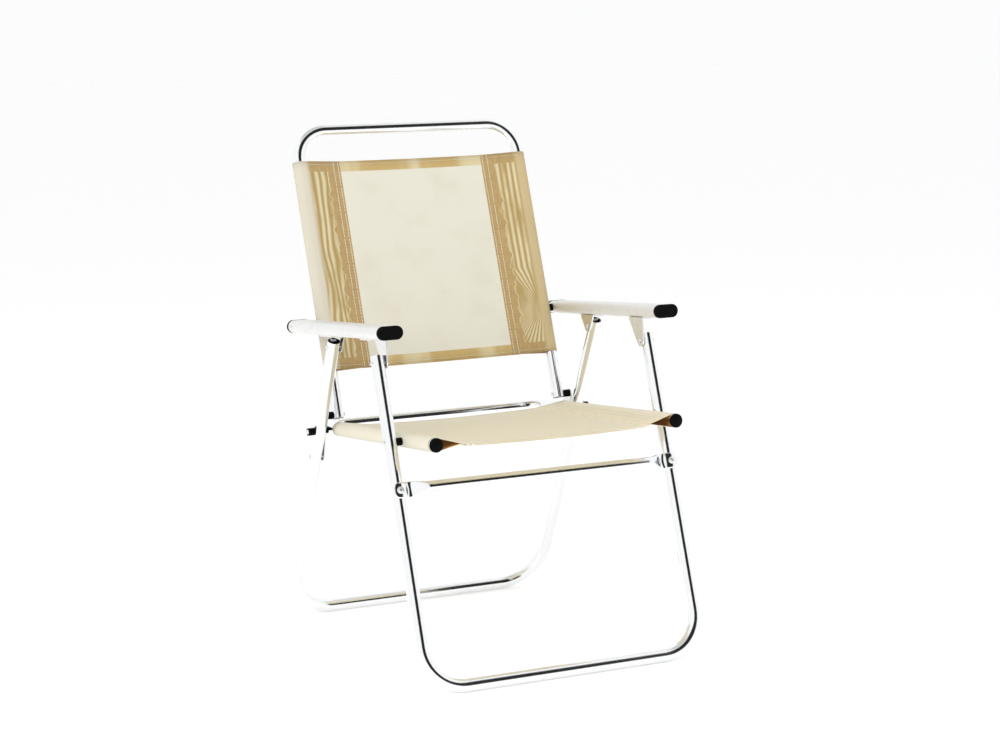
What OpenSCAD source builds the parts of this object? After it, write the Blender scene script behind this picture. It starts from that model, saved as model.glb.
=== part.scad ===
// Folding camp chair: aluminium tube frame with stretched mesh seat and back.
// Millimetres. +Z is up, the front of the chair faces -Y, and X runs across it.
// The floor is Z = 0 and the chair stands unfolded.

/* [Side layout] */
// Front floor bar, distance ahead of the middle
front_bar_y = -301.5; // [-400:0.1:-200]
// Rear floor bar, distance behind the middle
rear_bar_y = 288.5; // [200:0.1:400]
// Front leg pivot, front to back
front_pivot_y = -130.1; // [-200:0.1:-80]
// Front leg pivot, height
front_pivot_z = 513.4; // [450:0.1:580]
// Rear leg pivot, front to back
rear_pivot_y = 58.5; // [0:0.1:120]
// Rear leg pivot, height
rear_pivot_z = 517.2; // [450:0.1:580]
// Pivot between back and link, front to back
back_pivot_y = 132.7; // [100:0.1:170]
// Pivot between back and link, height
back_pivot_z = 387.2; // [350:0.1:430]
// Pivot between seat and link, front to back
seat_pivot_y = 152.9; // [120:0.1:190]
// Pivot between seat and link, height
seat_pivot_z = 361.6; // [330:0.1:400]
// Top bar of the back, front to back
back_top_y = 301.5; // [250:0.1:380]
// Top bar of the back, height of its centre line
back_top_z = 866.5; // [750:0.1:950]
// Front leg pivot down to the seat's front pivot
seat_pivot_drop = 130.2; // [100:0.1:160]
// Rear leg pivot down to the link's pivot
link_pivot_drop = 222.4; // [180:0.1:260]
// Rear leg pivot down to the stop buffer
stop_drop = 169.5; // [140:0.1:210]
// Front leg pivot down to the crossbar
crossbar_drop = 210; // [160:1:300]
// Back pivot up to the armrest's rear pivot
armrest_pivot_rise = 159.6; // [120:0.1:200]
// Seat's front pivot to the front ends of its side tubes
seat_nose = 107; // [60:1:140]
// Seat's rear pivot to the centre line of its rear cross tube
seat_tail = 50; // [35:1:80]

/* [Widths] */
// Middle of the chair to a leg tube's centre
leg_side = 250; // [200:0.5:300]
// Middle of the chair to a back tube's centre
back_side = 214; // [170:0.5:260]
// Middle of the chair to a seat tube's centre
seat_side = 218; // [170:0.5:260]
// Middle of the chair to an armrest's centre
armrest_side = 253; // [200:0.5:310]

/* [Tubes] */
// Outside diameter of the frame tubes
tube_d = 22; // [18:0.5:28]
// Wall thickness of every tube
tube_wall = 1.2; // [0.8:0.1:3]
// Bend radius of the front legs
front_bend = 68; // [40:1:120]
// Bend radius of the rear legs
rear_bend = 80; // [40:1:120]
// Bend radius of the seat frame
seat_bend = 44; // [30:1:48]
// Bend radius of the back's top corners
back_bend = 56; // [30:1:100]
// How far the leg tubes run past their top pivots
leg_overrun = 12; // [8:0.5:20]
// How far the back's tubes run past their bottom pivots
back_overrun = 6; // [4:0.5:12]

/* [Crossbar] */
// Diameter of the crossbar's round middle
crossbar_d = 19; // [14:0.5:24]
// Centre line of the crossbar ahead of the front legs
crossbar_ahead = 18.5; // [17:0.5:30]
// Height of the flattened ends
crossbar_flat_h = 26; // [20:1:36]
// Thickness of the flattened ends
crossbar_flat_t = 3; // [2:0.1:6]
// Length of each taper from flat to round
crossbar_taper = 38; // [30:1:80]

/* [Armrests] */
// Width of the flat-oval armrest tube
armrest_w = 44; // [36:0.5:60]
// Height of the flat-oval armrest tube
armrest_h = 22; // [16:0.5:30]
// Height of the armrest's front end, at its centre line
armrest_front_z = 569.7; // [540:0.1:600]
// Front end of the armrest, ahead of the middle
armrest_front_y = -190; // [-260:0.1:-150]
// How far the armrest tube runs behind its rear pivot
armrest_overrun = 13; // [12:0.5:30]
// Length of the rear cap's rim
rear_cap_len = 6; // [2:0.5:12]
// Length of the front cap's rim
front_cap_len = 5; // [2:0.5:10]

/* [Brackets and link plates] */
// Thickness of the bracket and link plates
plate_t = 2.5; // [1.5:0.1:4]
// Inside face of the bracket and link plates
plate_side = 236; // [230:0.1:238]
// Radius of the bracket plates around a pivot
bracket_r = 10; // [8:0.5:14]
// Front bracket, reach behind its pivot
front_bracket_back = 37; // [20:0.5:50]
// Front bracket, reach ahead of its pivot
front_bracket_ahead = 10; // [10:0.5:40]
// Rear bracket, reach to each side of its pivot
rear_bracket_half = 23.5; // [15:0.5:40]
// Half width of the link plates
link_r = 9; // [7:0.5:12]

/* [Rivets and spacers] */
// Diameter of a rivet's shank
rivet_d = 6; // [4:0.1:8]
// Diameter of a rivet's head
head_d = 8.5; // [7:0.1:12]
// Diameter of the crossbar rivets' hollow heads
crossbar_head_d = 12; // [8:0.5:14]
// Height of a rivet's domed head
head_h = 2.4; // [1.5:0.1:4]
// Diameter of the plastic spacers
spacer_d = 13; // [10:0.5:16]
// Outside stop block, distance it stands off the leg
stop_len = 11; // [6:0.5:16]
// Diameter of the inside stop buffer
buffer_d = 10; // [8:0.5:14]

/* [Slings] */
// Thickness of one layer of mesh
mesh_t = 1.1; // [0.8:0.1:2]
// Middle of the chair to the seat's inner seam
seat_seam = 158; // [120:1:190]
// Middle of the chair to the back's inner seam
back_seam = 144; // [110:1:180]
// Seat sling, rear edge ahead of the rear seat pivot
seat_sling_rear = 34; // [20:1:80]
// Seat sling, front edge short of the side tubes' ends
seat_sling_front = 5; // [0:1:40]
// Back sling, bottom edge above the back pivot
back_sling_bottom = 78; // [50:1:120]
// Back sling, top edge above the back pivot
back_sling_top = 451; // [380:1:470]
// Sag of the mesh at the middle
mesh_sag = 4; // [0:0.5:8]

/* [Hidden] */
$fn = 48;
tube_r = tube_d / 2;
inner_r = tube_r - tube_wall;
rivet_r = rivet_d / 2;
head_r = head_d / 2;
running = 0.05;
gap = 0.3;
plate_out = plate_side + plate_t;
sleeve_in = tube_r + 0.05;
sleeve_out = sleeve_in + mesh_t;

front_bar = [front_bar_y, tube_r];
rear_bar = [rear_bar_y, tube_r];
front_pivot = [front_pivot_y, front_pivot_z];
rear_pivot = [rear_pivot_y, rear_pivot_z];
back_pivot = [back_pivot_y, back_pivot_z];
back_top = [back_top_y, back_top_z];
seat_pivot = [seat_pivot_y, seat_pivot_z];
armrest_front = [armrest_front_y, armrest_front_z];
seat_front_pivot = point_on(front_pivot, front_bar, seat_pivot_drop);
armrest_pivot = point_on(back_pivot, back_top, armrest_pivot_rise);
link_pivot = point_on(rear_pivot, rear_bar, link_pivot_drop);
stop_point = point_on(rear_pivot, rear_bar, stop_drop);
seat_len = norm(seat_front_pivot - seat_pivot) + seat_nose;
armrest_len = norm(armrest_front - armrest_pivot);
armrest_tube_front = armrest_len - front_cap_len;

silver = [0.80, 0.81, 0.82];
steel = [0.70, 0.71, 0.73];
black = [0.05, 0.05, 0.055];
cream = [0.90, 0.86, 0.76];

// ---- positions in the side view, as [Y, Z] ----

function unit(p, q) = (q - p) / norm(q - p);
function point_on(p, q, d) = p + d * unit(p, q);
// Coordinates of r in the frame that along(p, q) makes.
function local_z(p, q, r) = (r - p) * unit(p, q);
function local_y(p, q, r) = (r - p) * [unit(p, q)[1], -unit(p, q)[0]];

// Puts the origin at p with local +Z pointing to q, X unchanged.
module along(p, q) {
  translate([0, p[0], p[1]])
    rotate([atan2(p[0] - q[0], q[1] - p[1]), 0, 0])
      children();
}

module rear_leg_axis() { along(rear_pivot, rear_bar) children(); }
module front_leg_axis() { along(front_pivot, front_bar) children(); }
module seat_axis() { along(seat_pivot, seat_front_pivot) children(); }
module back_axis() { along(back_pivot, back_top) children(); }
module armrest_axis() { along(armrest_pivot, armrest_front) children(); }

// Copies a right-hand piece to the left.
module both_sides() {
  children();
  mirror([1, 0, 0]) children();
}

// ---- shared shapes ----

// Solid bar of radius r along the U of a frame: legs at X = +-side start at
// Z = -start and the cross bar lies at Z = length.
module u_bar(side, start, length, bend, r) {
  for (s = [-1, 1]) {
    translate([s * side, 0, -start]) cylinder(r = r, h = start + length - bend);
    translate([s * (side - bend), 0, length - bend])
      rotate([90, 0, 0])
        rotate([0, 0, s > 0 ? 0 : 90])
          rotate_extrude(angle = 90) translate([bend, 0]) circle(r = r);
  }
  translate([bend - side, 0, length])
    rotate([0, 90, 0]) cylinder(r = r, h = 2 * (side - bend));
}

// Tube bent to a U, with cross holes for rivets at the heights in holes.
module u_tube(side, start, length, bend, holes) {
  difference() {
    u_bar(side, start, length, bend, tube_r);
    u_bar(side, start + 1, length, bend, inner_r);
    for (z = holes, s = [-1, 1])
      translate([s * side, 0, z]) cross_pin(-tube_r - 1, tube_r + 1, rivet_r + running);
  }
}

// Cylinder along X from x0 to x1.
module cross_pin(x0, x1, r) {
  translate([x0, 0, 0]) rotate([0, 90, 0]) cylinder(r = r, h = x1 - x0);
}

// Spherical cap standing on Z = 0.
module dome(r, h) {
  ball = (r * r + h * h) / (2 * h);
  intersection() {
    translate([0, 0, h - ball]) sphere(r = ball);
    cylinder(r = r, h = h);
  }
}

// Rivet head on the side of a round tube along Z, standing off in +X.
module saddle_head(r, h) {
  rim = 0.2;
  translate([tube_r + rim, 0, 0]) rotate([0, 90, 0]) dome(r, h - rim);
  difference() {
    cross_pin(tube_r - 1.4, tube_r + rim, r);
    translate([0, 0, -2 * r]) rotate(45) cylinder(r = tube_r, h = 4 * r);
  }
}

// The same on a tube centred at x, facing +X or -X.
module head_on_tube(x, face) {
  translate([x, 0, 0]) rotate(face > 0 ? 0 : 180) saddle_head(head_r, head_h);
}

// Rivet head standing flat at x, facing +X or -X.
module flat_head(x, face, h) {
  translate([x, 0, 0]) rotate([0, face * 90, 0]) dome(head_r, h);
}

// Spacer from the side of a tube centred at x to a flat end at x_end.
module saddle_spacer(x, x_end) {
  lo = min(x, x_end);
  hi = max(x, x_end);
  difference() {
    cross_pin(lo, hi, spacer_d / 2);
    translate([x, 0, -spacer_d]) cylinder(r = tube_r, h = 2 * spacer_d);
    cross_pin(lo - 1, hi + 1, rivet_r + running);
  }
}

// Plate of thickness t from X = x, drawn in 2D as [local Z, local Y].
module side_plate(x, t) {
  translate([x + t, 0, 0]) rotate([0, -90, 0]) linear_extrude(t) children();
}

module flat_oval(w, h) {
  square([w - h, h], center = true);
  for (s = [-1, 1]) translate([s * (w - h) / 2, 0]) circle(r = h / 2);
}

// Triangle a, b, c in 2D, counted anticlockwise, grown by r with round corners.
module round_triangle(a, b, c, r) {
  polygon([a + r * right_of(a, b), b + r * right_of(a, b),
    b + r * right_of(b, c), c + r * right_of(b, c),
    c + r * right_of(c, a), a + r * right_of(c, a)]);
  for (p = [a, b, c]) translate(p) circle(r = r);
}

function right_of(p, q) = [unit(p, q)[1], -unit(p, q)[0]];

// ---- rear legs ----

module rear_leg_frame() {
  color(silver) rear_leg_axis()
    u_tube(leg_side, leg_overrun, norm(rear_bar - rear_pivot), rear_bend,
      [0, stop_drop, link_pivot_drop]);
}

// Rivet through a leg tube and a plate inside it, at local height z.
module leg_plate_rivet(z) {
  translate([0, 0, z]) {
    cross_pin(plate_side - gap, leg_side + tube_r + 1, rivet_r);
    head_on_tube(leg_side, 1);
    flat_head(plate_side - gap, -1, head_h - 0.4);
  }
}

module rear_leg_pivot_rivets() {
  color(steel) rear_leg_axis() both_sides() leg_plate_rivet(0);
}

module link_pivot_rivets() {
  color(steel) rear_leg_axis() both_sides() leg_plate_rivet(link_pivot_drop);
}

module stop_blocks() {
  color(black) rear_leg_axis() translate([0, 0, stop_drop]) both_sides()
    saddle_spacer(leg_side, leg_side + tube_r + stop_len);
}

module stop_buffers() {
  color(black) rear_leg_axis() translate([0, 0, stop_drop]) both_sides()
    difference() {
      cross_pin(plate_side - 1, leg_side, buffer_d / 2);
      translate([leg_side, 0, -buffer_d]) cylinder(r = tube_r, h = 2 * buffer_d);
      cross_pin(plate_side - 2, leg_side, rivet_r + running);
    }
}

module stop_rivets() {
  out = leg_side + tube_r + stop_len;
  color(steel) rear_leg_axis() translate([0, 0, stop_drop]) both_sides() {
    cross_pin(plate_side - 1.5, out + 1, rivet_r);
    flat_head(out, 1, head_h);
    flat_head(plate_side - 1, -1, head_h - 0.8);
  }
}

// ---- front legs and crossbar ----

module front_leg_frame() {
  color(silver) front_leg_axis() difference() {
    u_tube(leg_side, leg_overrun, norm(front_bar - front_pivot), front_bend,
      [0, seat_pivot_drop]);
    for (s = [-1, 1])
      translate([s * leg_side, tube_r + 1, crossbar_drop])
        rotate([90, 0, 0]) cylinder(r = rivet_r + running, h = tube_d + 2);
  }
}

module front_leg_pivot_rivets() {
  color(steel) front_leg_axis() both_sides() leg_plate_rivet(0);
}

// The seat tube's face that the front spacers stop short of.
seat_face = seat_side + sleeve_out + gap;

module seat_front_rivets() {
  color(steel) front_leg_axis() translate([0, 0, seat_pivot_drop]) both_sides() {
    cross_pin(seat_face + 0.2, leg_side + tube_r + 1, rivet_r);
    head_on_tube(leg_side, 1);
  }
}

module seat_front_spacers() {
  color(black) front_leg_axis() translate([0, 0, seat_pivot_drop]) both_sides()
    saddle_spacer(leg_side, seat_face);
}

module front_crossbar() {
  flat_y = tube_r + crossbar_flat_t / 2;
  flat_end = leg_side - crossbar_flat_h / 2;
  round_end = flat_end - crossbar_taper;
  color(silver) front_leg_axis() translate([0, 0, crossbar_drop]) {
    translate([-round_end, crossbar_ahead, 0])
      rotate([0, 90, 0]) cylinder(d = crossbar_d, h = 2 * round_end);
    both_sides() {
      hull() {
        translate([round_end - 0.5, crossbar_ahead, 0])
          rotate([0, 90, 0]) cylinder(d = crossbar_d, h = 0.5, $fn = 40);
        translate([flat_end - 0.5, flat_y, 0])
          cube([1, crossbar_flat_t, crossbar_flat_h], center = true);
      }
      difference() {
        translate([leg_side, flat_y + crossbar_flat_t / 2, 0]) rotate([90, 0, 0])
          linear_extrude(crossbar_flat_t) {
            circle(d = crossbar_flat_h);
            translate([-crossbar_flat_h / 2, -crossbar_flat_h / 2])
              square([crossbar_flat_h / 2, crossbar_flat_h]);
          }
        translate([leg_side, 2 * tube_r, 0])
          rotate([90, 0, 0]) cylinder(r = rivet_r + running, h = tube_d);
      }
    }
  }
}

module crossbar_rivets() {
  color(steel) front_leg_axis() both_sides() translate([leg_side, 0, crossbar_drop]) {
    translate([0, tube_r + crossbar_flat_t, 0]) rotate([-90, 0, 0]) difference() {
      dome(crossbar_head_d / 2, head_h + 0.6);
      translate([0, 0, 1.4]) cylinder(r = 2.1, h = head_h);
    }
    translate([0, -tube_r - 1, 0]) rotate([-90, 0, 0])
      cylinder(r = rivet_r, h = tube_d + crossbar_flat_t + 2);
    rotate(-90) saddle_head(head_r, head_h - 1.1);
  }
}

// ---- armrests ----

// Height of a pivot below the armrest's underside, and its place along it.
function pivot_drop(p) = -armrest_h / 2 - local_y(armrest_pivot, armrest_front, p);
function pivot_along(p) = local_z(armrest_pivot, armrest_front, p);
// Two fixing rivets per bracket, at these distances from the pivot.
front_fixings = [-26, 0];
rear_fixings = [-13, 13];

module armrest_tube() {
  armrest_axis() translate([armrest_side, 0, 0]) difference() {
    translate([0, 0, -armrest_overrun])
      linear_extrude(armrest_overrun + armrest_tube_front) difference() {
        flat_oval(armrest_w, armrest_h);
        flat_oval(armrest_w - 2 * tube_wall, armrest_h - 2 * tube_wall);
      }
    cross_pin(-armrest_w, armrest_w, rivet_r + running);
    for (z = fixing_places()) translate([0, -armrest_h, z])
      rotate([-90, 0, 0]) cylinder(r = rivet_r + running, h = armrest_h);
  }
}

function fixing_places() = concat(
  [for (f = front_fixings) pivot_along(front_pivot) + f],
  [for (f = rear_fixings) pivot_along(rear_pivot) + f]);

// Rounded rim and its plug, which reaches plug_len into the tube.
module armrest_cap(rim_len, plug_len) {
  linear_extrude(rim_len) flat_oval(armrest_w + 0.6, armrest_h + 0.6);
  translate([0, 0, -plug_len]) linear_extrude(plug_len + 0.5)
    flat_oval(armrest_w - 2 * tube_wall - 0.2, armrest_h - 2 * tube_wall - 0.2);
}

module armrest_front_cap() {
  armrest_axis() translate([armrest_side, 0, armrest_tube_front])
    armrest_cap(front_cap_len, 12);
}

module armrest_rear_cap() {
  armrest_axis() translate([armrest_side, 0, -armrest_overrun]) mirror([0, 0, 1])
    armrest_cap(rear_cap_len, 8);
}

// Where a line from the corner touches the circle of radius r at the origin.
function tangent(corner, r, side) =
  let (a = atan2(corner[0], corner[1]) + side * acos(r / norm(corner)))
  r * [sin(a), cos(a)];

// Bracket around pivot p: a flange under the armrest and a hanging plate.
module bracket(p, back, ahead, fixings) {
  drop = pivot_drop(p);
  armrest_axis() translate([0, -armrest_h / 2, pivot_along(p)]) {
    side_plate(plate_side, plate_t) translate([0, -drop]) difference() {
      union() {
        polygon([[-back, drop], [ahead, drop],
          tangent([ahead, drop], bracket_r, 1), tangent([-back, drop], bracket_r, -1)]);
        circle(r = bracket_r);
      }
      circle(r = rivet_r + running);
    }
    difference() {
      translate([plate_out, -plate_t, -back])
        cube([armrest_side + armrest_w / 4 - plate_out, plate_t, back + ahead]);
      for (z = fixings) translate([armrest_side, -plate_t - 1, z])
        rotate([-90, 0, 0]) cylinder(r = rivet_r + running, h = plate_t + 2);
    }
  }
}

module front_bracket() {
  bracket(front_pivot, front_bracket_back, front_bracket_ahead, front_fixings);
}

module rear_bracket() {
  bracket(rear_pivot, rear_bracket_half, rear_bracket_half, rear_fixings);
}

module bracket_rivets() {
  armrest_axis() for (z = fixing_places())
    translate([armrest_side, -armrest_h / 2, z]) {
      translate([0, -plate_t, 0]) rotate([-90, 0, 0])
        cylinder(r = rivet_r, h = plate_t + tube_wall);
      translate([0, -plate_t, 0]) rotate([90, 0, 0]) cylinder(r = head_r, h = 0.9);
      translate([0, tube_wall, 0]) rotate([-90, 0, 0]) dome(head_r, 1.6);
    }
}

// The back tube's face that the armrest spacers stop short of.
back_face = back_side + sleeve_out + gap;

module armrest_back_rivet() {
  armrest_axis() {
    cross_pin(back_face + 0.2, armrest_side + armrest_w / 2 + 1, rivet_r);
    head_on_tube(armrest_side + armrest_w / 2 - tube_r, 1);
  }
}

module armrest_spacer() {
  armrest_axis() saddle_spacer(armrest_side - armrest_w / 2 + tube_r, back_face);
}

module right_armrest_tube() { color(silver) armrest_tube(); }
module right_armrest_front_cap() { color(black) armrest_front_cap(); }
module right_armrest_rear_cap() { color(black) armrest_rear_cap(); }
module right_front_bracket() { color(silver) front_bracket(); }
module right_rear_bracket() { color(silver) rear_bracket(); }
module right_bracket_rivets() { color(steel) bracket_rivets(); }
module right_armrest_back_rivet() { color(steel) armrest_back_rivet(); }
module right_armrest_spacer() { color(black) armrest_spacer(); }

module left() { mirror([1, 0, 0]) children(); }
module left_armrest_tube() { left() right_armrest_tube(); }
module left_armrest_front_cap() { left() right_armrest_front_cap(); }
module left_armrest_rear_cap() { left() right_armrest_rear_cap(); }
module left_front_bracket() { left() right_front_bracket(); }
module left_rear_bracket() { left() right_rear_bracket(); }
module left_bracket_rivets() { left() right_bracket_rivets(); }
module left_armrest_back_rivet() { left() right_armrest_back_rivet(); }
module left_armrest_spacer() { left() right_armrest_spacer(); }

// ---- links ----

// [Y, Z] to the [Z, Y] drawing of a side plate.
function swap(p) = [p[1], p[0]];

module right_link_plate() {
  color(silver) side_plate(plate_side, plate_t) difference() {
    round_triangle(swap(link_pivot), swap(back_pivot), swap(seat_pivot), link_r);
    for (p = [link_pivot, back_pivot, seat_pivot])
      translate(swap(p)) circle(r = rivet_r + running);
    translate(swap(stop_point)) circle(r = buffer_d / 2 + gap);
  }
}

module left_link_plate() { left() right_link_plate(); }

// ---- seat ----

module seat_frame() {
  color(silver) seat_axis() mirror([0, 0, 1])
    u_tube(seat_side, seat_len, seat_tail, seat_bend, [0]);
}

module seat_frame_caps() {
  color(black) seat_axis() both_sides() translate([seat_side, 0, seat_len]) {
    translate([0, 0, -12]) cylinder(r = inner_r - 0.1, h = 12.5);
    cylinder(r = tube_r + 0.6, h = 2.5);
    translate([0, 0, 2.5]) dome(tube_r + 0.6, 2.5);
  }
}

// Rivet through a frame tube centred at x, its spacer and the link plate.
module link_side_rivet(x) {
  cross_pin(x - tube_r - 1, plate_out + gap + 0.5, rivet_r);
  head_on_tube(x, -1);
  flat_head(plate_out + gap, 1, 1.6);
}

module seat_rear_rivets() {
  color(steel) seat_axis() both_sides() link_side_rivet(seat_side);
}

module seat_rear_spacers() {
  color(black) seat_axis() both_sides() saddle_spacer(seat_side, plate_side - gap);
}

// Points round a tube centred at x, open towards the seam.
function sleeve_arc(x, r, seam) =
  let (a = 180 - acos(r / (x - seam)))
  [for (i = [-12 : 12]) [x + r * cos(a * i / 12), r * sin(a * i / 12)]];

function flipped(points) =
  [for (i = [len(points) - 1 : -1 : 0]) [-points[i][0], points[i][1]]];

// Cross-section of a sling in [X, local Y]: a sleeve round each side tube,
// two layers closing to a seam, and one sagging layer between the seams.
module sling_section(side, seam, down) {
  sag = down * mesh_sag;
  half = mesh_t / 2;
  upper = [[seam, mesh_t], [seam - 8, half + 0.1 * sag],
    [seam / 2, 0.8 * sag + half], [0, sag + half]];
  lower = [[0, sag - half], [seam / 2, 0.8 * sag - half],
    [seam - 8, 0.1 * sag - half], [seam, -mesh_t]];
  right = concat(lower, sleeve_arc(side, sleeve_out, seam), upper);
  hollow = concat([[seam + 8, -half / 2]], sleeve_arc(side, sleeve_in + 0.05, seam),
    [[seam + 8, half / 2]]);
  difference() {
    polygon(concat(right, flipped(right)));
    polygon(hollow);
    polygon(flipped(hollow));
  }
}

module seat_sling() {
  color(cream) seat_axis() translate([0, 0, seat_sling_rear])
    linear_extrude(seat_len - seat_sling_front - seat_sling_rear)
      sling_section(seat_side, seat_seam, -1);
}

// ---- back ----

module back_frame() {
  color(silver) back_axis()
    u_tube(back_side, back_overrun, norm(back_top - back_pivot), back_bend, [0]);
}

module back_pivot_rivets() {
  color(steel) back_axis() both_sides() link_side_rivet(back_side);
}

module back_pivot_spacers() {
  color(black) back_axis() both_sides() saddle_spacer(back_side, plate_side - gap);
}

module back_sling() {
  color(cream) back_axis() translate([0, 0, back_sling_bottom])
    linear_extrude(back_sling_top - back_sling_bottom)
      sling_section(back_side, back_seam, 1);
}

rear_leg_frame();
rear_leg_pivot_rivets();
link_pivot_rivets();
stop_blocks();
stop_buffers();
stop_rivets();
front_leg_frame();
front_leg_pivot_rivets();
seat_front_rivets();
seat_front_spacers();
front_crossbar();
crossbar_rivets();
left_armrest_tube();
left_armrest_front_cap();
left_armrest_rear_cap();
left_front_bracket();
left_rear_bracket();
left_bracket_rivets();
left_armrest_back_rivet();
left_armrest_spacer();
right_armrest_tube();
right_armrest_front_cap();
right_armrest_rear_cap();
right_front_bracket();
right_rear_bracket();
right_bracket_rivets();
right_armrest_back_rivet();
right_armrest_spacer();
left_link_plate();
right_link_plate();
seat_frame();
seat_frame_caps();
seat_rear_rivets();
seat_rear_spacers();
seat_sling();
back_frame();
back_pivot_rivets();
back_pivot_spacers();
back_sling();
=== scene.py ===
"""Folding camp chair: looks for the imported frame, in metres, +Z up, front at -Y."""
import math

import bmesh
import bpy
from mathutils import Matrix, Vector


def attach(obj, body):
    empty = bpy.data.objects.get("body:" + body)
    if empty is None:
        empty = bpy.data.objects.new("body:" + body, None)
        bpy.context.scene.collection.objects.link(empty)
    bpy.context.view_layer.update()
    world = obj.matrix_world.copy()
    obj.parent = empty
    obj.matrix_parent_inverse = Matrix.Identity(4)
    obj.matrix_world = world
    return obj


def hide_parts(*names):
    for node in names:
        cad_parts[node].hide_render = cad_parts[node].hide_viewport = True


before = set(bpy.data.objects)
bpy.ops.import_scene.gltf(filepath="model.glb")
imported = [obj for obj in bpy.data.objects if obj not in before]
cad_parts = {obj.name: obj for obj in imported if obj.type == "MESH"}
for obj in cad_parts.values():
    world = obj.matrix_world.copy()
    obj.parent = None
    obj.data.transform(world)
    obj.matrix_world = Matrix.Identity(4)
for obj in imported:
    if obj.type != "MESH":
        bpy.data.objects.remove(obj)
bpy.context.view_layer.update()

# ---- places repeated from part.scad, in metres ----

TUBE_R = 0.011
BACK_PIVOT = Vector((0, 0.1327, 0.3872))
BACK_TOP = Vector((0, 0.3015, 0.8665))
SEAT_PIVOT = Vector((0, 0.1529, 0.3616))
SEAT_FRONT_PIVOT = Vector((0, -0.17214, 0.39017))
FRONT_PIVOT = Vector((0, -0.1301, 0.5134))
FRONT_BAR = Vector((0, -0.3015, 0.011))
CROSSBAR_DROP = 0.210
LEG_SIDE = 0.250
BACK_SIDE = 0.214
SEAT_SIDE = 0.218

X_AXIS = Vector((1, 0, 0))


class SideFrame:
    """Origin on a line of the side view: x across, w along the line, n square to both."""

    def __init__(self, origin, towards, outward):
        self.origin = origin
        self.w = (towards - origin).normalized()
        self.n = self.w.cross(X_AXIS)
        if self.n.dot(outward) < 0:
            self.n = -self.n

    def at(self, x, n, w):
        return self.origin + X_AXIS * x + self.n * n + self.w * w


BACK = SideFrame(BACK_PIVOT, BACK_TOP, Vector((0, -1, 0)))
SEAT = SideFrame(SEAT_PIVOT, SEAT_FRONT_PIVOT, Vector((0, 0, 1)))
FRONT_LEG = SideFrame(FRONT_PIVOT, FRONT_BAR, Vector((0, -1, 0)))

# ---- camera ----

CAMERA_AT = Vector((-1.7832, -3.6859, 1.0902))
CAMERA_AZIMUTH = math.radians(-26.24)
CAMERA_ELEVATION = math.radians(8.66)
CAMERA_ROLL = math.radians(-0.84)
CAMERA_LENS = 87.24
CAMERA_SENSOR = 36


def make_camera():
    """The view that the picture is taken from."""
    a, e, r = CAMERA_AZIMUTH, CAMERA_ELEVATION, CAMERA_ROLL
    back = Vector((math.sin(a) * math.cos(e), -math.cos(a) * math.cos(e), math.sin(e)))
    right = Vector((math.cos(a), math.sin(a), 0))
    up = back.cross(right)
    turned_right = right * math.cos(r) + up * math.sin(r)
    turned_up = up * math.cos(r) - right * math.sin(r)
    camera = bpy.data.objects.new("camera", bpy.data.cameras.new("camera"))
    bpy.context.scene.collection.objects.link(camera)
    camera.data.lens = CAMERA_LENS
    camera.data.sensor_width = CAMERA_SENSOR
    camera.matrix_world = Matrix.Translation(CAMERA_AT) @ Matrix(
        (turned_right, turned_up, back)).transposed().to_4x4()
    bpy.context.scene.camera = camera


make_camera()

# ---- materials ----


class Tree:
    """Short way to wire a node tree."""

    def __init__(self, tree):
        self.tree = tree

    def add(self, kind, **settings):
        node = self.tree.nodes.new(kind)
        for key, value in settings.items():
            setattr(node, key, value)
        return node

    def link(self, source, target):
        self.tree.links.new(source, target)

    def feed(self, socket, value):
        if isinstance(value, (int, float)):
            socket.default_value = value
        else:
            self.link(value, socket)

    def math(self, operation, *values):
        node = self.add("ShaderNodeMath", operation=operation)
        for socket, value in zip(node.inputs, values):
            self.feed(socket, value)
        return node.outputs[0]

    def fade(self, value, low, high, at_low, at_high):
        """at_low below low, at_high above high, smooth between."""
        node = self.add("ShaderNodeMapRange", interpolation_type="SMOOTHSTEP")
        self.link(value, node.inputs["Value"])
        for socket, number in (("From Min", low), ("From Max", high),
                               ("To Min", at_low), ("To Max", at_high)):
            node.inputs[socket].default_value = number
        return node.outputs["Result"]

    def smooth(self, value, start, end):
        """0 before start, 1 past end, smooth between; start may be the higher one."""
        if start > end:
            return self.fade(value, end, start, 1.0, 0.0)
        return self.fade(value, start, end, 0.0, 1.0)


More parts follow.
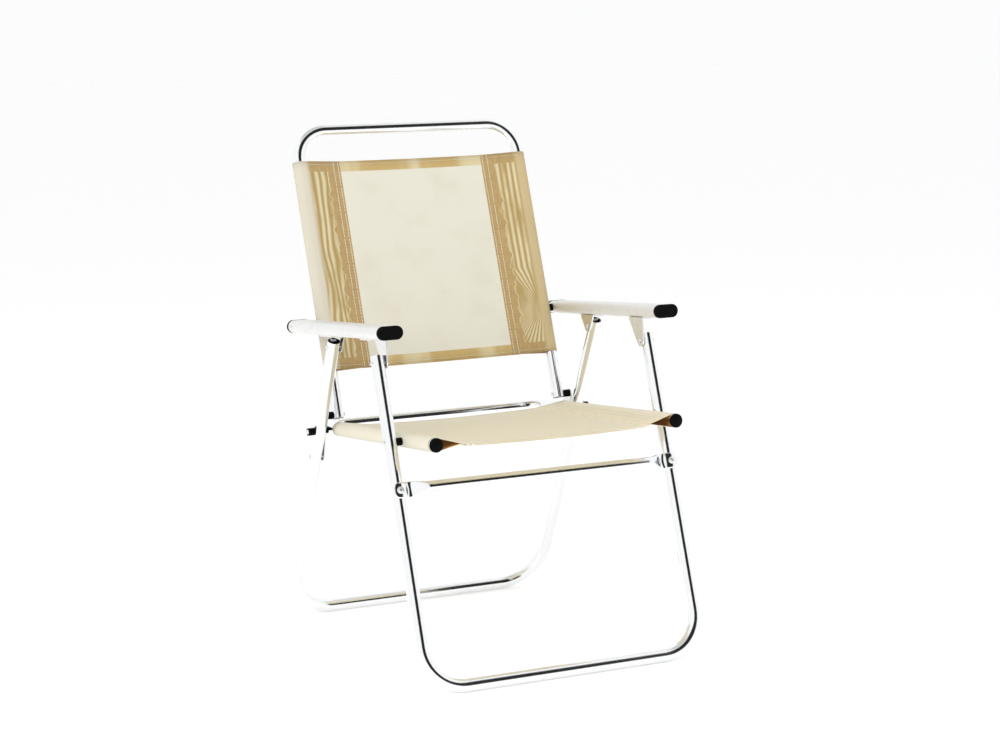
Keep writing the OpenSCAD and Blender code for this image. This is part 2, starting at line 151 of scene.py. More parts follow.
class Nodes(Tree):
    """A new material's node tree."""

    def __init__(self, name):
        self.material = bpy.data.materials.new(name)
        self.material.use_nodes = True
        super().__init__(self.material.node_tree)
        self.shader = self.tree.nodes["Principled BSDF"]

    def set(self, **values):
        for key, value in values.items():
            self.shader.inputs[key.replace("_", " ")].default_value = value

    def mix(self, factor, first, second):
        node = self.add("ShaderNodeMix", data_type="RGBA")
        self.feed(node.inputs["Factor"], factor)
        for socket, colour in ((node.inputs["A"], first), (node.inputs["B"], second)):
            if isinstance(colour, tuple):
                socket.default_value = (*colour, 1)
            else:
                self.link(colour, socket)
        return node.outputs["Result"]

    def noise(self, vector, scale, detail=2.0, stretch=(1, 1, 1)):
        mapping = self.add("ShaderNodeMapping")
        mapping.inputs["Scale"].default_value = stretch
        self.link(vector, mapping.inputs["Vector"])
        node = self.add("ShaderNodeTexNoise")
        node.inputs["Scale"].default_value = scale
        node.inputs["Detail"].default_value = detail
        self.link(mapping.outputs["Vector"], node.inputs["Vector"])
        return node.outputs["Fac"]

    def bump(self, height, strength, distance):
        node = self.add("ShaderNodeBump")
        node.inputs["Strength"].default_value = strength
        node.inputs["Distance"].default_value = distance
        self.link(height, node.inputs["Height"])
        self.link(node.outputs["Normal"], self.shader.inputs["Normal"])

    def object_place(self):
        return self.add("ShaderNodeTexCoord").outputs["Object"]

    def uv(self):
        """The cloth's own coordinates in metres: across from the middle, and along."""
        split = self.add("ShaderNodeSeparateXYZ")
        self.link(self.add("ShaderNodeTexCoord").outputs["UV"], split.inputs[0])
        return split.outputs["X"], split.outputs["Y"]


def metal(name, colour, roughness, streaks=0.05, stretch=(1, 1, 1)):
    """Polished metal with faint handling marks and drawing lines."""
    m = Nodes(name)
    place = m.object_place()
    marks = m.noise(place, 55, 5)
    lines = m.noise(place, 900, 2, stretch)
    m.set(Metallic=1.0)
    dull = tuple(c * 0.97 for c in colour)
    m.link(m.mix(m.smooth(marks, 0.42, 0.72), colour, dull), m.shader.inputs["Base Color"])
    m.link(m.math("MULTIPLY_ADD", marks, streaks, roughness), m.shader.inputs["Roughness"])
    m.bump(lines, 0.06, 0.0004)
    return m.material


def plastic(name, colour, roughness):
    """Moulded plastic with a fine grain and edges rubbed a little paler."""
    m = Nodes(name)
    place = m.object_place()
    grain = m.noise(place, 1600, 3)
    rub = m.noise(place, 120, 4)
    pale = tuple(c * 1.6 + 0.002 for c in colour)
    m.link(m.mix(m.smooth(rub, 0.55, 0.8), colour, pale), m.shader.inputs["Base Color"])
    m.link(m.math("MULTIPLY_ADD", rub, 0.15, roughness), m.shader.inputs["Roughness"])
    m.set(Specular_IOR_Level=0.05)
    m.bump(grain, 0.15, 0.0002)
    return m.material


WEAVE_PITCH = 0.0013
WEAVE_DEEP = 0.00025
WEAVE_BUMP = 0.35


def weave(m, across, along):
    """Adds the bumps of a plain basket weave; returns them, from -1 to 1."""
    turns = 2 * math.pi / WEAVE_PITCH
    warp = m.math("SINE", m.math("MULTIPLY", across, turns))
    weft = m.math("SINE", m.math("MULTIPLY", along, turns))
    both = m.math("MULTIPLY", warp, weft)
    m.bump(m.math("MULTIPLY_ADD", both, 0.5, 0.5), WEAVE_BUMP, WEAVE_DEEP)
    return both


# Lines on the cloth, as distances along it from the seam's middle: where the layers
# start, the raw edge and its fray, where the fan's stripes would meet, and where the
# cloth leaves the tube behind.
SEAM_BEFORE = 0.008
RAW_EDGE_PAST = 0.018
FRAY_PAST = 0.0012
FAN_EDGE_PAST = 0.062
BEHIND_TUBE = 0.118
# How far the raw edge wanders, and half the fray's width.
EDGE_WANDER = 0.034
FRAY_HALF = 0.0009
# Half the width over which one tone turns into the next.
LAYER_BLUR = 0.0005
RAW_BLUR = 0.0006
HEM_BLUR = 0.0007
TUBE_BLUR = 0.0055
BEHIND_BLUR = 0.006

# Stripes between the layers: even ones on the -X side, a fan on the +X side.
NEAR_STRIPE_PITCH = 0.0105
NEAR_STRIPE_BEND = 15.0
FAN_STRIPES = 8.075
FAN_START = 0.006
FAN_REACH = 0.075
FAN_BEND = 3.0


def pattern_place(m, across, along, across_scale, along_scale):
    """A vector for noise that is stretched differently across and along the cloth."""
    node = m.add("ShaderNodeCombineXYZ")
    m.link(m.math("MULTIPLY", across, across_scale), node.inputs["X"])
    m.link(m.math("MULTIPLY", along, along_scale), node.inputs["Y"])
    return node.outputs[0]


def moire(m, across, along, side, fan_at, fan_edge):
    """Stripes where two layers of mesh lie over each other.

    They run lengthwise, and on the +X side they spread from the point fan_at.
    """
    place = pattern_place(m, across, along, 20.0, 6.0)
    bend = m.math("MULTIPLY", m.noise(place, 1.3, 1.5), NEAR_STRIPE_BEND)
    left = m.math("ADD", m.math("MULTIPLY", side, 2 * math.pi / NEAR_STRIPE_PITCH), bend)
    away = m.math("ABSOLUTE", m.math("SUBTRACT", along, fan_at))
    spread = m.math("ADD", m.math("MINIMUM", away, FAN_REACH), FAN_START)
    inward = m.math("SUBTRACT", fan_edge, side)
    fan = m.math("DIVIDE", m.math("MULTIPLY", inward, 2 * math.pi * FAN_STRIPES), spread)
    right = m.math("ADD", fan, m.math("MULTIPLY", m.noise(place, 0.8, 1), FAN_BEND))
    is_right = m.math("GREATER_THAN", across, 0.0)
    mixed = m.add("ShaderNodeMix", data_type="FLOAT")
    m.link(is_right, mixed.inputs["Factor"])
    m.link(left, mixed.inputs["A"])
    m.link(right, mixed.inputs["B"])
    wave = m.math("MULTIPLY_ADD", m.math("SINE", mixed.outputs["Result"]), 0.5, 0.5)
    strength = m.smooth(m.noise(place, 2.3, 2), 0.22, 0.62)
    return m.math("MULTIPLY", wave, strength), is_right


def past(m, value, line, blur):
    """1 where value lies beyond line, with an edge of +-blur."""
    return m.smooth(value, line - blur, line + blur)


def short_of(m, value, line, blur):
    """1 where value has not reached line, with an edge of +-blur."""
    return m.smooth(value, line + blur, line - blur)


def hem_tone(m, across, along, layered, triple, tones):
    """Colour of the hems: patches of two tones, and three layers beyond the seam."""
    patches = m.noise(pattern_place(m, across, along, 1.0, 0.2), 17, 2)
    pale = m.math("MULTIPLY", m.smooth(patches, 0.42, 0.66), 0.75)
    return m.mix(layered, m.mix(pale, tones["hem"], tones["double_light"]), triple)


def soiled(m, across, along, colour, tone):
    """The colour with faint blotches of tone."""
    soil = m.noise(pattern_place(m, across, along, 1.0, 1.0), 14, 4)
    return m.mix(m.math("MULTIPLY", m.smooth(soil, 0.45, 0.75), 0.10), colour, tone)


def sling_cloth(name, sling, tones):
    """Mesh cloth, coloured by how many layers lie over each other."""
    m = Nodes(name)
    seam = sling.seam
    across, along = m.uv()
    side = m.math("ABSOLUTE", across)
    wander = m.noise(pattern_place(m, m.math("SIGN", across), along, 3.0, 1.0), 48, 5)
    shift = m.math("MULTIPLY", m.math("SUBTRACT", wander, 0.5), EDGE_WANDER)
    edge = m.math("ADD", side, shift)
    layered = past(m, side, seam - SEAM_BEFORE, LAYER_BLUR)

    # one layer in the middle, two beyond the seam, and the frayed edge seen through them
    stripes, is_right = moire(m, across, along, side, tones["fan_at"], seam + FAN_EDGE_PAST)
    double = m.mix(stripes, tones["double"], tones["double_light"])
    colour = m.mix(layered, tones["single"], double)
    raw_edge = seam + RAW_EDGE_PAST
    off_fray = m.math("ABSOLUTE", m.math("SUBTRACT", edge, raw_edge + FRAY_PAST))
    fray = short_of(m, off_fray, FRAY_HALF, LAYER_BLUR)
    colour = m.mix(m.math("MULTIPLY", fray, 0.6), colour, tones["double_light"])

    # round the tube, then the seam's three layers, then the hems
    tube_tone = m.mix(is_right, tones["tube"], tones["tube_right"])
    on_tube = m.math("MULTIPLY", past(m, side, seam + tones["tube_at"], TUBE_BLUR),
                     short_of(m, side, seam + BEHIND_TUBE - BEHIND_BLUR, BEHIND_BLUR))
    colour = m.mix(on_tube, colour, tube_tone)
    grain = m.noise(pattern_place(m, across, along, 1.0, 0.25), 260, 3)
    triple = m.mix(m.smooth(grain, 0.35, 0.7), tones["triple"],
                   tuple(c * 1.18 for c in tones["triple"]))
    in_seam = m.math("MULTIPLY", layered, short_of(m, edge, raw_edge, RAW_BLUR))
    colour = m.mix(in_seam, colour, triple)
    in_hem = m.math("MAXIMUM", short_of(m, along, sling.low + HEM, HEM_BLUR),
                    past(m, along, sling.high - HEM, HEM_BLUR))
    hem = hem_tone(m, across, along, layered, triple, tones)
    colour = m.mix(in_hem, colour, m.mix(on_tube, hem, tube_tone))

    colour = soiled(m, across, along, colour, tones["double"])
    threads = weave(m, across, along)
    # painted shade: the low points of the weave are mixed a little towards the double tone,
    # as if shaded between the threads
    colour = m.mix(m.math("MULTIPLY", m.smooth(threads, 0.1, -0.9), 0.16), colour,
                   tones["double"])
    m.link(colour, m.shader.inputs["Base Color"])
    m.set(Roughness=0.62, Sheen_Weight=0.08, Sheen_Roughness=0.4, Specular_IOR_Level=0.3)
    return m.material


def plain_cloth(name, colour, glow=0.0):
    """One layer of mesh; glow stands for the daylight that comes through it."""
    m = Nodes(name)
    m.set(Emission_Color=(*colour, 1), Emission_Strength=glow)
    across, along = m.uv()
    place = m.object_place()
    shade = m.noise(place, 40, 3)
    dark = tuple(c * 0.82 for c in colour)
    m.link(m.mix(m.smooth(shade, 0.35, 0.7), colour, dark), m.shader.inputs["Base Color"])
    m.set(Roughness=0.7)
    weave(m, across, along)
    return m.material


def thread(name, colour):
    """Twisted sewing thread."""
    m = Nodes(name)
    twist = m.noise(m.object_place(), 1500, 2)
    dark = tuple(c * 0.8 for c in colour)
    m.link(m.mix(m.smooth(twist, 0.4, 0.7), colour, dark), m.shader.inputs["Base Color"])
    m.set(Roughness=0.6)
    m.bump(twist, 0.2, 0.0002)
    return m.material


TUBE_METAL = metal("polished_tube", (0.90, 0.91, 0.92), 0.10, 0.05, (1, 1, 0.08))
ARMREST_METAL = metal("satin_armrest", (0.88, 0.88, 0.87), 0.55, 0.10, (1, 0.05, 1))
PLATE_METAL = metal("pressed_plate", (0.86, 0.86, 0.85), 0.20, 0.12)
RIVET_METAL = metal("rivet", (0.78, 0.79, 0.80), 0.24, 0.16)
BLACK = plastic("black_plastic", (0.0025, 0.0025, 0.0027), 0.42)

# Colours by number of layers; tube_at is where the cloth reaches the tube, from the
# seam, and fan_at is where the stripes spread from, along the cloth.
BACK_TONES = {"single": (0.655, 0.638, 0.545), "double": (0.36, 0.245, 0.085),
              "double_light": (0.64, 0.57, 0.37), "triple": (0.375, 0.258, 0.112),
              "hem": (0.47, 0.335, 0.135), "tube": (0.60, 0.56, 0.46),
              "tube_right": (0.50, 0.40, 0.22), "tube_at": 0.0575, "fan_at": 0.160}
SEAT_TONES = {"single": (0.69, 0.62, 0.45), "double": (0.65, 0.57, 0.39),
              "double_light": (0.71, 0.64, 0.48), "triple": (0.655, 0.575, 0.40),
              "hem": (0.66, 0.58, 0.41), "tube": (0.68, 0.64, 0.52),
              "tube_right": (0.72, 0.65, 0.50), "tube_at": 0.0455, "fan_at": 0.0}

NODE_METAL = {"frame": TUBE_METAL, "tube": TUBE_METAL, "crossbar": TUBE_METAL,
              "bracket": PLATE_METAL, "plate": PLATE_METAL,
              "rivets": RIVET_METAL, "rivet": RIVET_METAL,
              "cap": BLACK, "caps": BLACK, "spacer": BLACK, "spacers": BLACK,
              "blocks": BLACK, "buffers": BLACK}
for node_name, cad_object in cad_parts.items():
    finish = NODE_METAL.get(node_name.rsplit("_", 1)[-1])
    if finish:
        cad_object.data.materials.clear()
        cad_object.data.materials.append(finish)
for node_name in ("left_armrest_tube", "right_armrest_tube"):
    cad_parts[node_name].data.materials[0] = ARMREST_METAL

# ---- mesh helpers ----


def add_object(name, mesh, materials):
    """A smooth-shaded object in the scene."""
    piece = bpy.data.objects.new(name, mesh)
    bpy.context.scene.collection.objects.link(piece)
    for material in materials:
        mesh.materials.append(material)
    for polygon in mesh.polygons:
        polygon.use_smooth = True
    return piece


def turn_normals_out(mesh):
    """Turns every face of a closed mesh to look outward."""
    fix = bmesh.new()
    fix.from_mesh(mesh)
    bmesh.ops.recalc_face_normals(fix, faces=fix.faces)
    fix.to_mesh(mesh)
    fix.free()


def solid_object(name, verts, faces, materials):
    """An object from vertices and faces, with every normal turned outward."""
    mesh = bpy.data.meshes.new(name)
    mesh.from_pydata(verts, [], faces)
    turn_normals_out(mesh)
    return add_object(name, mesh, materials)


def skin_rings(faces, first, rings, around):
    """Faces over rings of vertices that start at first, closed at both ends."""
    for r in range(rings - 1):
        for a in range(around):
            b = (a + 1) % around
            faces.append([first + r * around + a, first + r * around + b,
                          first + (r + 1) * around + b, first + (r + 1) * around + a])
    last = first + (rings - 1) * around
    faces.append([first + a for a in reversed(range(around))])
    faces.append([last + a for a in range(around)])


def cloth_points(base, rows, lines, thickness):
    """Points on both faces of the cloth, and each one's place on the flat cloth."""
    verts, coords = [], []
    for w, line in zip(rows, lines):
        for j, (x, n, u) in enumerate(line):
            before, after = line[max(j - 1, 0)], line[min(j + 1, len(line) - 1)]
            run = Vector((after[0] - before[0], after[1] - before[1])).normalized()
            out = Vector((-run.y, run.x)) * thickness / 2
            for sign in (1, -1):
                verts.append(base.at(x + sign * out.x, n + sign * out.y, w))
                coords.append((u, w))
    return verts, coords


def cloth_faces(rows, columns, inside):
    """Faces of the closed cloth, and the material number of each."""
    def vert(i, j, side):
        return (i * columns + j) * 2 + side

    faces, kinds = [], []

    def add(face, kind=0, flip=False):
        faces.append(face[::-1] if flip else face)
        kinds.append(kind)

    for i in range(rows - 1):
        for j in range(columns - 1):
            add([vert(i, j, 0), vert(i, j + 1, 0), vert(i + 1, j + 1, 0), vert(i + 1, j, 0)])
            add([vert(i + 1, j, 1), vert(i + 1, j + 1, 1), vert(i, j + 1, 1), vert(i, j, 1)],
                kind=1 if j in inside else 0)
        for j, flip in ((0, True), (columns - 1, False)):
            add([vert(i, j, 0), vert(i + 1, j, 0), vert(i + 1, j, 1), vert(i, j, 1)],
                flip=flip)
    for i, flip in ((0, False), (rows - 1, True)):
        for j in range(columns - 1):
            add([vert(i, j, 0), vert(i, j, 1), vert(i, j + 1, 1), vert(i, j + 1, 0)],
                flip=flip)
    return faces, kinds


def cloth_solid(name, base, rows, section, thickness, inside, materials):
    """Thin closed solid of cloth.

    section(w) gives the mid line at w as [(x, n, u)], u being the distance along the
    cloth; inside is the set of columns whose inner face takes the second material.
    """
    lines = [section(w) for w in rows]
    verts, coords = cloth_points(base, rows, lines, thickness)
    faces, kinds = cloth_faces(len(rows), len(lines[0]), inside)
    mesh = bpy.data.meshes.new(name)
    mesh.from_pydata(verts, [], faces)
    uv = mesh.uv_layers.new(name="UVMap")
    for loop in mesh.loops:
        uv.data[loop.index].uv = coords[loop.vertex_index]
    for polygon, kind in zip(mesh.polygons, kinds):
        polygon.material_index = kind
    turn_normals_out(mesh)
    return add_object(name, mesh, materials)


# How far along a stitch each of its rings is, and how thick it is there.
STITCH_PROFILE = ((0.0, 0.35), (0.18, 0.9), (0.5, 1.0), (0.82, 0.9), (1.0, 0.35))
STITCH_FLATTEN = 0.7
THREAD_AROUND = 6


def add_stitch(verts, faces, origin, run, normal, length, radius):
    """One stitch that lies along run from origin."""
    side = run.cross(normal).normalized()
    first = len(verts)
    for along, swell in STITCH_PROFILE:
        for a in range(THREAD_AROUND):
            angle = 2 * math.pi * a / THREAD_AROUND
            offset = side * math.cos(angle) + normal * math.sin(angle) * STITCH_FLATTEN
            verts.append(origin + run * along * length + offset * radius * swell)
    skin_rings(faces, first, len(STITCH_PROFILE), THREAD_AROUND)


def stitch_rows(name, lines, material, length=0.0044, pitch=0.0056, radius=0.0005):
    """Separate stitches along each line; a line is (start, end, outward normal)."""
    verts, faces = [], []
    for start, end, normal in lines:
        run = (end - start).normalized()
        reach = (end - start).length
        count = int(reach / pitch)
        margin = (reach - count * pitch) / 2 + (pitch - length) / 2
        for k in range(count):
            add_stitch(verts, faces, start + run * (margin + k * pitch), run, normal,
                       length, radius)
    mesh = bpy.data.meshes.new(name)
    mesh.from_pydata(verts, [], faces)
    return add_object(name, mesh, [material])


# A direction that no thread runs along.
SKEW = Vector((0.31, 0.17, 0.93))


def sweep(verts, faces, points, radius):
    """Adds a thin round thread along the points."""
    first = len(verts)
    for i, point in enumerate(points):
        before, after = points[max(i - 1, 0)], points[min(i + 1, len(points) - 1)]
        run = (after - before).normalized()
        side = run.cross(SKEW).normalized()
        up = side.cross(run)
        for a in range(THREAD_AROUND):
            angle = 2 * math.pi * a / THREAD_AROUND
            verts.append(point + (side * math.cos(angle) + up * math.sin(angle)) * radius)
    skin_rings(faces, first, len(points), THREAD_AROUND)


LOOP_STEPS = 10
LOOP_REACH = 0.0045
LOOP_REACH_STEP = 0.0015
LOOP_LEAN = 0.003
LOOP_BULGE = 0.0022
LOOP_DROP = 0.0035
LOOP_THREAD_R = 0.00045


def thread_loops(name, places, ahead, down, material):
    """Loose loops of thread left hanging at the ends of seams."""
    verts, faces = [], []
    for k, place in enumerate(places):
        reach = LOOP_REACH + LOOP_REACH_STEP * (k % 3)
        lean = LOOP_LEAN * (-1) ** k
        points = []
        for i in range(LOOP_STEPS + 1):
            t = i / LOOP_STEPS
            rise = math.sin(math.pi * t)
            points.append(place + X_AXIS * (lean * t + LOOP_BULGE * rise)
                          + ahead * reach * rise + down * LOOP_DROP * rise ** 2)
        sweep(verts, faces, points, LOOP_THREAD_R)
    return solid_object(name, verts, faces, [material])


def smoothstep(t):
    """0 below 0, 1 above 1, smooth between."""
    t = min(max(t, 0.0), 1.0)
    return t * t * (3 - 2 * t)


# ---- slings ----

CLOTH = 0.0009
LAYER_GAP = 0.00005
SLEEVE_R = TUBE_R + 0.00012 + CLOTH / 2

# Steps of the half section: the middle, the rise to the tube, round it, and back.
MIDDLE_STEPS = 12
RISE_STEPS = 8
WRAP_STEPS = 20
RETURN_STEPS = 7
TANGENT_COLUMN = MIDDLE_STEPS + RISE_STEPS

# Where the returning layer meets the front one, outside the seam, and where it ends.
MEET_PAST = 0.012
SEWN_PAST = 0.004
END_BEFORE = 0.008
SEWN_GAP = 0.0002

# The turned-in hem: its depth, how far it stops short of the seams, and how far its
# fold is inside the cloth's edge.
HEM = 0.019
HEM_SHORT = 0.012
HEM_INSET = 0.0002

# Rows of stitches, the straight runs they are made of, and how far the middle of
# their thread is off the cloth.
SEAM_ROWS = (-0.0045, 0.0045)
SEAM_RUNS = 8
HEM_RUNS = 12
HEM_ROW_SHORT = 0.004
THREAD_OVER = 0.0002
THREAD_UNDER = 0.0003


class Sling:
    """A cloth whose sides are folded round two tubes and sewn back at a seam."""

    def __init__(self, base, side, seam, low, high, seam_n, sag):
        self.base = base
        self.side = side
        self.seam = seam
        self.low = low
        self.high = high
        self.seam_n = seam_n
        self.sag = sag

    def middle(self, x, w):
        """Height of the single layer at x."""
        t = (w - self.low) / (self.high - self.low)
        rise = self.seam_n[0] * (1 - t) + self.seam_n[1] * t
        bow = 1 - (x / self.seam) ** 2
        return rise + self.sag * max(bow, 0.0) * (0.75 + 0.25 * math.cos(2 * math.pi * t))

    def half(self, w):
        """Mid line of the right half from the middle out and round to the raw edge."""
        points = []
        for i in range(MIDDLE_STEPS + 1):
            x = self.seam * i / MIDDLE_STEPS
            points.append((x, self.middle(x, w)))
        seam_n = self.middle(self.seam, w)
        lean = math.acos(SLEEVE_R / math.hypot(self.side - self.seam, seam_n))
        toward = math.atan2(seam_n, self.seam - self.side)
        top = toward - lean
        bottom = toward + lean - 2 * math.pi
        tx = self.side + SLEEVE_R * math.cos(top)
        tn = SLEEVE_R * math.sin(top)
        for i in range(1, RISE_STEPS):
            t = i / RISE_STEPS
            points.append((self.seam + (tx - self.seam) * t, seam_n + (tn - seam_n) * t))
        for i in range(WRAP_STEPS + 1):
            a = top + (bottom - top) * i / WRAP_STEPS
            points.append((self.side + SLEEVE_R * math.cos(a), SLEEVE_R * math.sin(a)))
        bx, bn = points[-1]
        drop = CLOTH + LAYER_GAP
        meet = self.seam + MEET_PAST
        under = seam_n + (tn - seam_n) * (meet - self.seam) / (tx - self.seam) - drop
        for i in range(1, RETURN_STEPS + 1):
            t = i / RETURN_STEPS
            points.append((bx + (meet - bx) * t, bn + (under - bn) * t))
        points.append((self.seam + SEWN_PAST, seam_n - drop + SEWN_GAP))
        end = self.seam - END_BEFORE
        points.append((end, self.middle(end, w) - drop))
        return points

    def section(self, w):
        """Mid line from raw edge to raw edge, as (x, n, distance along the cloth)."""
        half = self.half(w)
        path = [(-x, n) for x, n in reversed(half)] + half[1:]
        middle = len(half) - 1
        lengths = [0.0]
        for (x0, n0), (x1, n1) in zip(path, path[1:]):
            lengths.append(lengths[-1] + math.hypot(x1 - x0, n1 - n0))
        return [(x, n, u - lengths[middle]) for (x, n), u in zip(path, lengths)]

    def columns_inside(self):
        """Columns whose inner face lines the sleeve."""
        count = 2 * len(self.half(self.low)) - 1
        middle = count // 2
        return {j for j in range(count - 1)
                if j >= middle + MIDDLE_STEPS or j < middle - MIDDLE_STEPS}

    def flat_size(self):
        """Width and length of the cloth laid flat."""
        width = self.section(self.low)[-1][2] * 2
        return width, self.high - self.low

    def cloth(self, name, materials, steps):
        """The whole cloth as one closed solid."""
        rows = [self.low + (self.high - self.low) * i / steps for i in range(steps + 1)]
        return cloth_solid(name, self.base, rows, self.section, CLOTH,
                           self.columns_inside(), materials)

    def hem(self, name, edge, inward, materials):
        """The turned-in strip along one end, lying against the inner face."""
        drop = CLOTH + LAYER_GAP

        def line(w):
            points = [p for p in self.section(w) if abs(p[0]) <= self.seam - HEM_SHORT]
            return [(x, n - drop, u) for x, n, u in points]

        rows = [edge + inward * t for t in (0.0, 0.25, 0.5, 0.75, 1.0)]
        rows.sort()
        return cloth_solid(name, self.base, rows, line, CLOTH, set(), materials)

    def underside(self, x, w):
        """A point on the rear face of the seam."""
        n = self.middle(min(abs(x), self.seam), w)
        return self.base.at(x, n - CLOTH * 1.5 - LAYER_GAP - THREAD_UNDER, w)

    def surface(self, x, w):
        """A point on the outer face of the middle or upper layer."""
        if abs(x) <= self.seam:
            n = self.middle(x, w)
        else:
            seam_n = self.middle(self.seam, w)
            tx, tn = self.half(w)[TANGENT_COLUMN]
            n = seam_n + (tn - seam_n) * (abs(x) - self.seam) / (tx - self.seam)
        return self.base.at(x, n + CLOTH / 2 + THREAD_OVER, w)

    def seam_stitches(self, name, material):
        """Two rows along each seam, in front and behind."""
        lines = []
        for sign in (-1, 1):
            for offset in SEAM_ROWS:
                x = sign * (self.seam + offset)
                for k in range(SEAM_RUNS):
                    w0 = self.low + (self.high - self.low) * k / SEAM_RUNS
                    w1 = self.low + (self.high - self.low) * (k + 1) / SEAM_RUNS
                    lines.append((self.surface(x, w0), self.surface(x, w1), self.base.n))
                    lines.append((self.underside(x, w0), self.underside(x, w1),
                                  -self.base.n))
        return stitch_rows(name, lines, material)

    def hem_stitches(self, name, material, inset):
        """One row along each hem, inset from its edge."""
        lines = []
        reach = self.side - HEM_ROW_SHORT
        for w in (self.low + inset, self.high - inset):
            for k in range(HEM_RUNS):
                x0 = -reach + 2 * reach * k / HEM_RUNS
                x1 = -reach + 2 * reach * (k + 1) / HEM_RUNS
                lines.append((self.surface(x0, w), self.surface(x1, w), self.base.n))
        return stitch_rows(name, lines, material, length=0.003, pitch=0.0042,
                           radius=0.0003)


WHITE_THREAD = thread("white_thread", (0.86, 0.84, 0.78))

back_sling = Sling(BACK, side=BACK_SIDE, seam=0.146, low=0.078, high=0.451,
                   seam_n=(0.0, 0.0), sag=-0.004)
seat_sling = Sling(SEAT, side=SEAT_SIDE, seam=0.160, low=0.034, high=0.4283,
                   seam_n=(0.003, -0.005), sag=-0.003)
CLOTH_STEPS = 24
HEM_STITCH_INSET = 0.006
LOOP_OFFSETS = (-0.007, 0.0, 0.005)

back_cloth_material = sling_cloth("back_mesh", back_sling, BACK_TONES)
back_inside_material = plain_cloth("back_sleeve_inside", (0.50, 0.34, 0.15))
seat_cloth_material = sling_cloth("seat_mesh", seat_sling, SEAT_TONES)
seat_inside_material = plain_cloth("seat_sleeve_inside", (0.43, 0.22, 0.07), 0.10)
hem_material = plain_cloth("hem_mesh", (0.62, 0.50, 0.29))

back_cloth = back_sling.cloth("back_sling_cloth",
                              [back_cloth_material, back_inside_material], CLOTH_STEPS)
back_hems = [back_sling.hem("back_sling_top_hem", back_sling.high - HEM_INSET, -HEM,
                            [hem_material]),
             back_sling.hem("back_sling_bottom_hem", back_sling.low + HEM_INSET, HEM,
                            [hem_material])]
back_stitches = [back_sling.seam_stitches("back_sling_seam_stitches", WHITE_THREAD),
                 back_sling.hem_stitches("back_sling_hem_stitches", WHITE_THREAD,
                                         HEM_STITCH_INSET)]
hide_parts("back_sling")

seat_cloth = seat_sling.cloth("seat_sling_cloth",
                              [seat_cloth_material, seat_inside_material], CLOTH_STEPS)
seat_hems = [seat_sling.hem("seat_sling_front_hem", seat_sling.high - HEM_INSET, -HEM,
                            [hem_material]),
             seat_sling.hem("seat_sling_rear_hem", seat_sling.low + HEM_INSET, HEM,
                            [hem_material])]
seat_stitches = [seat_sling.seam_stitches("seat_sling_seam_stitches", WHITE_THREAD)]
loop_places = [seat_sling.surface(sign * (seat_sling.seam + offset), seat_sling.high)
               for sign in (-1, 1) for offset in LOOP_OFFSETS]
seat_stitches.append(thread_loops("seat_sling_thread_loops", loop_places, SEAT.w, -SEAT.n,
                                  WHITE_THREAD))
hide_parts("seat_sling")

for piece in [back_cloth, *back_hems, *back_stitches]:
    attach(piece, "back")
for piece in [seat_cloth, *seat_hems, *seat_stitches]:
    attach(piece, "seat")
back_sling.flat_size()
seat_sling.flat_size()

# ---- crossbar ----

BAR_R = 0.0095
BAR_AHEAD = 0.0185
BAR_AROUND = 48
# The pressed end: how far ahead of the leg, how thick and how high.
FLAT_AHEAD = 0.0125
FLAT_T = 0.003
FLAT_H = 0.026
FLAT_END = LEG_SIDE - FLAT_H / 2
TAPER = 0.038
# The pressing thins the tube sooner than it spreads it.
THIN_LEAD = 1.08
# Exponent of the outline: 2 is round, more is squarer.
ROUND_OUTLINE = 2.0
PRESSED_OUTLINE = 4.2
# The paddle's crown, and the small dish pressed beside the rivet.
PADDLE_CROWN_R = 0.026
PADDLE_CROWN_REACH = 0.014
DISH_AT = 0.230
DISH_DEEP = 0.0016
DISH_WIDE = 0.0055
DISH_HALF_HEIGHT = 0.8
LEAST_END = 0.0001

MIDDLE_STATIONS = 4
TAPER_STATIONS = 30
ROUND_END_ANGLES = (12, 24, 36, 48, 58, 67, 75, 82, 87, 89.5)


def crossbar_ring(x):
    """Cross-section of the tube at x: round in the middle, pressed flat at the leg."""
    pressed = (x - FLAT_END + TAPER) / TAPER
    t = smoothstep(pressed)
    height = BAR_R + (FLAT_H / 2 - BAR_R) * t
    depth = BAR_R + (FLAT_T / 2 - BAR_R) * smoothstep(pressed * THIN_LEAD)
    ahead = BAR_AHEAD + (FLAT_AHEAD - BAR_AHEAD) * t
    ahead -= min(abs(x - LEG_SIDE), PADDLE_CROWN_REACH) ** 2 / (2 * PADDLE_CROWN_R) * t
    if x > LEG_SIDE:
        reach = (x - LEG_SIDE) / (FLAT_H / 2)
        height *= math.sqrt(max(1 - reach * reach, LEAST_END))
    square = ROUND_OUTLINE + (PRESSED_OUTLINE - ROUND_OUTLINE) * t
    dish = DISH_DEEP * math.exp(-((x - DISH_AT) / DISH_WIDE) ** 2)
    ring = []
    for k in range(BAR_AROUND):
        angle = 2 * math.pi * k / BAR_AROUND
        c, s = math.cos(angle), math.sin(angle)
        shape = (abs(c) ** square + abs(s) ** square) ** (-1 / square)
        hollow = dish * max(0.0, 1 - (s / DISH_HALF_HEIGHT) ** 2) if c > 0 else 0.0
        ring.append((ahead + depth * shape * c - hollow, CROSSBAR_DROP + height * shape * s))
    return ring


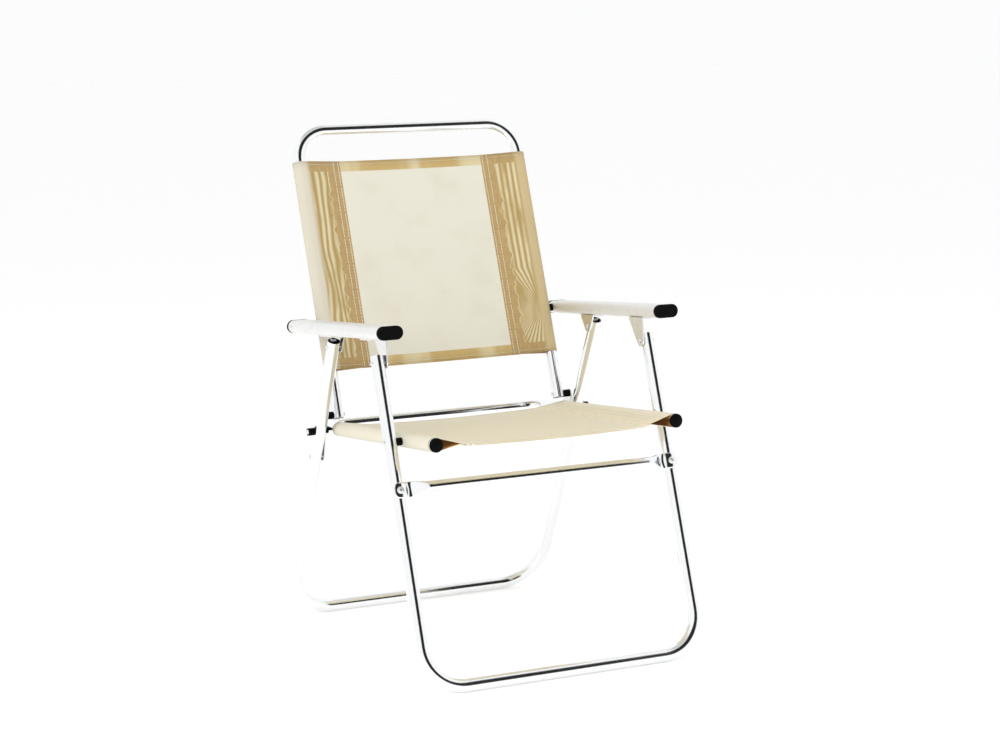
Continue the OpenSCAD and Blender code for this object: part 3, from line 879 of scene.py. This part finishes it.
def crossbar():
    """Round tube pressed flat at both ends, with round-ended paddles."""
    round_end = FLAT_END - TAPER
    stations = [round_end * i / MIDDLE_STATIONS for i in range(MIDDLE_STATIONS)]
    stations += [round_end + (LEG_SIDE - round_end) * i / TAPER_STATIONS
                 for i in range(TAPER_STATIONS + 1)]
    stations += [LEG_SIDE + FLAT_H / 2 * math.sin(math.radians(a))
                 for a in ROUND_END_ANGLES]
    half = [(x, crossbar_ring(x)) for x in stations]
    full = [(-x, ring) for x, ring in reversed(half[1:])] + half
    verts = [FRONT_LEG.at(x, n, w) for x, ring in full for n, w in ring]
    faces = []
    skin_rings(faces, 0, len(full), BAR_AROUND)
    return solid_object("crossbar_tube", verts, faces, [TUBE_METAL])


bar = crossbar()
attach(bar, "front_legs")
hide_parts("front_crossbar")

# ---- floor and light ----


FLOOR_REACH = 30
FLOOR_TONE = 0.84
# The floor glows a little, so that it stays white far from the lights.
FLOOR_GLOW = 0.238

BACKDROP = (0.972, 0.975, 0.975, 1)

# The dark gap: its direction, and its edges in the unit direction vector.
DARK_AZIMUTH = math.radians(11)
DARK_HALF_WIDTH = 0.43
DARK_MIDDLE_Z = 0.46
DARK_HALF_HEIGHT = 0.42
DARK_SQUARENESS = 4
DARK_LEVEL = 0.02
# Added on the other side of the room, to keep it clear of the gap.
BEHIND = 9.0

# The ceiling fades from its level at the walls to its level overhead.
CEILING = {"low": 0.86, "high": 0.97, "at_low": 1.08, "at_high": 0.66}

LIGHT_SIZE = 2.4
LIGHT_AIM = Vector((0, 0, 0.5))


def make_floor():
    """A plain pale floor."""
    mesh = bpy.data.meshes.new("floor")
    size = FLOOR_REACH
    mesh.from_pydata([(-size, -size, 0), (size, -size, 0), (size, size, 0),
                      (-size, size, 0)], [], [(0, 1, 2, 3)])
    floor = bpy.data.objects.new("floor", mesh)
    bpy.context.scene.collection.objects.link(floor)
    m = Nodes("pale_floor")
    m.set(Base_Color=(FLOOR_TONE, FLOOR_TONE, FLOOR_TONE, 1), Roughness=0.9,
          Emission_Color=(1, 1, 1, 1), Emission_Strength=FLOOR_GLOW)
    mesh.materials.append(m.material)


def make_world():
    """White studio all round, with one dark gap in front that the tubes reflect."""
    world = bpy.data.worlds.new("studio")
    bpy.context.scene.world = world
    world.use_nodes = True
    studio = Tree(world.node_tree)
    sky = studio.tree.nodes["Background"]

    turn = studio.add("ShaderNodeVectorRotate", rotation_type="Z_AXIS")
    turn.inputs["Angle"].default_value = -DARK_AZIMUTH
    studio.link(studio.add("ShaderNodeTexCoord").outputs["Generated"],
                turn.inputs["Vector"])
    split = studio.add("ShaderNodeSeparateXYZ")
    studio.link(turn.outputs[0], split.inputs[0])

    def off_centre(value, half):
        share = studio.math("ABSOLUTE", studio.math("DIVIDE", value, half))
        return studio.math("POWER", share, DARK_SQUARENESS)

    wide = off_centre(split.outputs["X"], DARK_HALF_WIDTH)
    tall = off_centre(studio.math("SUBTRACT", split.outputs["Z"], DARK_MIDDLE_Z),
                      DARK_HALF_HEIGHT)
    behind = studio.math("MULTIPLY", studio.math("GREATER_THAN", split.outputs["Y"], 0.0),
                         BEHIND)
    reach = studio.math("ADD", studio.math("ADD", wide, tall), behind)
    gap = studio.fade(reach, 0.55, 1.3, DARK_LEVEL, 1.0)
    ceiling = studio.fade(split.outputs["Z"], **CEILING)

    # the camera itself sees a plain backdrop
    seen = studio.add("ShaderNodeLightPath").outputs["Is Camera Ray"]
    unseen = studio.math("SUBTRACT", 1.0, seen)
    lit = studio.math("MULTIPLY", studio.math("MULTIPLY", gap, ceiling), unseen)
    studio.link(studio.math("ADD", lit, seen), sky.inputs["Strength"])
    sky.inputs["Color"].default_value = BACKDROP


def area_light(name, place, power):
    """Soft light that the metal doesn't mirror."""
    light = bpy.data.lights.new(name, "AREA")
    light.size = LIGHT_SIZE
    light.energy = power
    holder = bpy.data.objects.new(name, light)
    bpy.context.scene.collection.objects.link(holder)
    holder.visible_glossy = False
    holder.location = place
    direction = LIGHT_AIM - Vector(place)
    holder.rotation_euler = direction.to_track_quat("-Z", "Y").to_euler()


make_floor()
make_world()
area_light("key", place=(-2.4, -2.2, 2.2), power=62)
area_light("fill", place=(1.6, -2.8, 1.6), power=34)
bpy.context.scene.view_settings.view_transform = "Standard"
